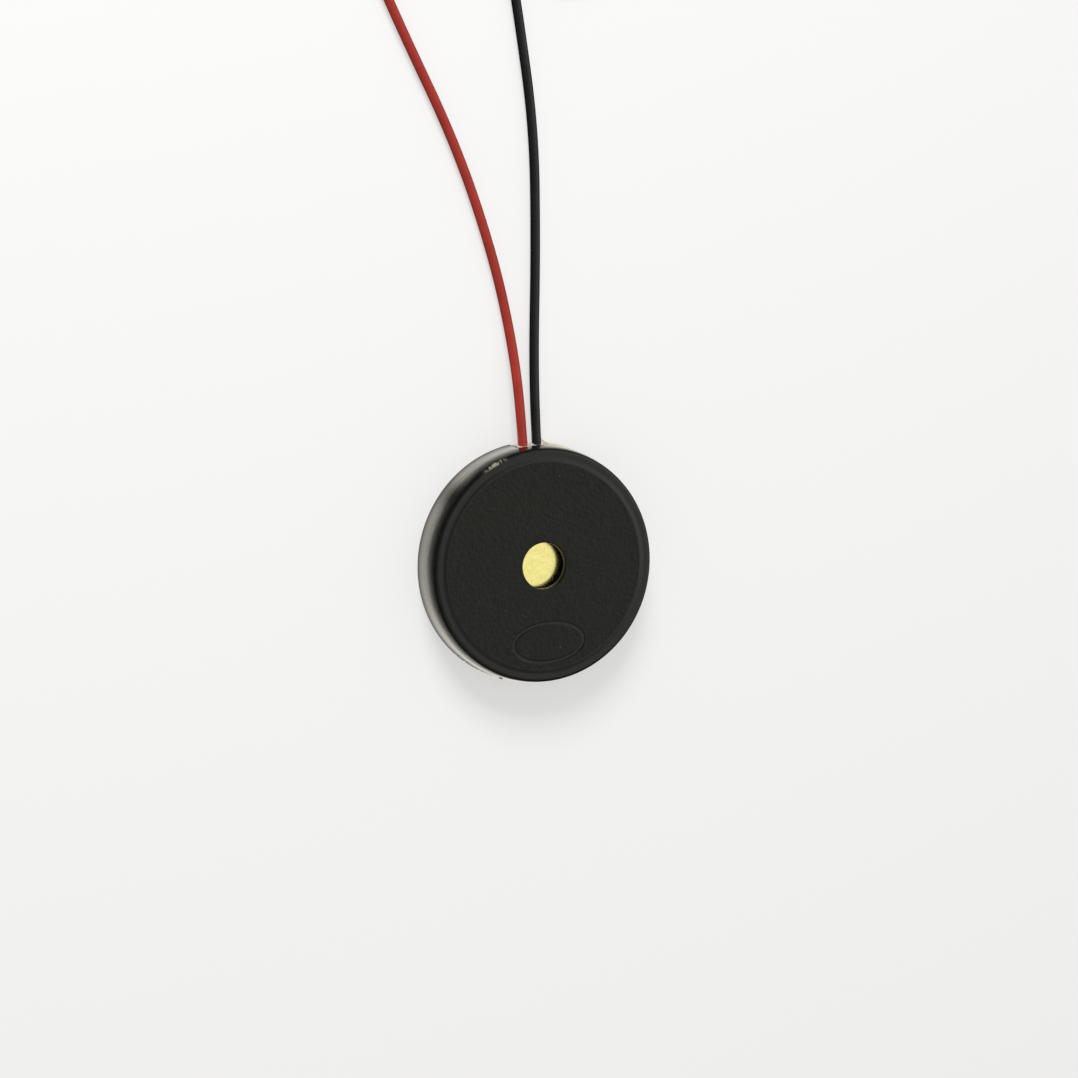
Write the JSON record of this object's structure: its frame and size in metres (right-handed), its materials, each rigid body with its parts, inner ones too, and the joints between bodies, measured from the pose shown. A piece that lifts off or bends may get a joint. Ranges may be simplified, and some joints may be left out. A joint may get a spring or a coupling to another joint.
{
  "type": "piezo buzzer",
  "caption": "Flat round piezo buzzer: moulded case with a central sound hole, brass and ceramic disc inside, pressed-in back, and flying leads with tinned ends.",
  "frame": {"origin": "middle of the case's back, on the surface that it lies on", "axes": "+Z is the way the sound hole faces, +Y points from the middle of the case to the middle of the pair of leads"},
  "size_m": [0.0361, 0.1037, 0.005],
  "materials": {
    "case_black": "moulded, fine matte face and glossy rim",
    "cover_black": "moulded, satin",
    "rubber_glue": "cured silicone",
    "brass": "rolled sheet, bright with a fine grain",
    "ceramic": "fired ceramic, matt",
    "silver": "fired silver, satin",
    "tinned_strands": "tinned copper strands",
    "solder": "bright solder",
    "outlet_glue": "cured clear glue, beige",
    "red_insulation": "soft insulation, satin",
    "black_insulation": "soft insulation, satin"
  },
  "bodies": {
    "root": {"front_case": "case_black", "back_cover": "cover_black", "diaphragm_adhesive": "rubber_glue", "brass_diaphragm": "brass", "piezo_ceramic": "ceramic", "silver_electrode": "silver", "red_inner_strands": "tinned_strands", "black_inner_strands": "tinned_strands", "red_solder_joint": "solder", "black_solder_joint": "solder", "outlet_glue": "outlet_glue", "red_lead": "red_insulation", "black_lead": "black_insulation", "red_lead_coil": "red_insulation", "black_lead_coil": "black_insulation", "red_tinned_tip": "tinned_strands", "black_tinned_tip": "tinned_strands"}
  },
  "joints": []
}
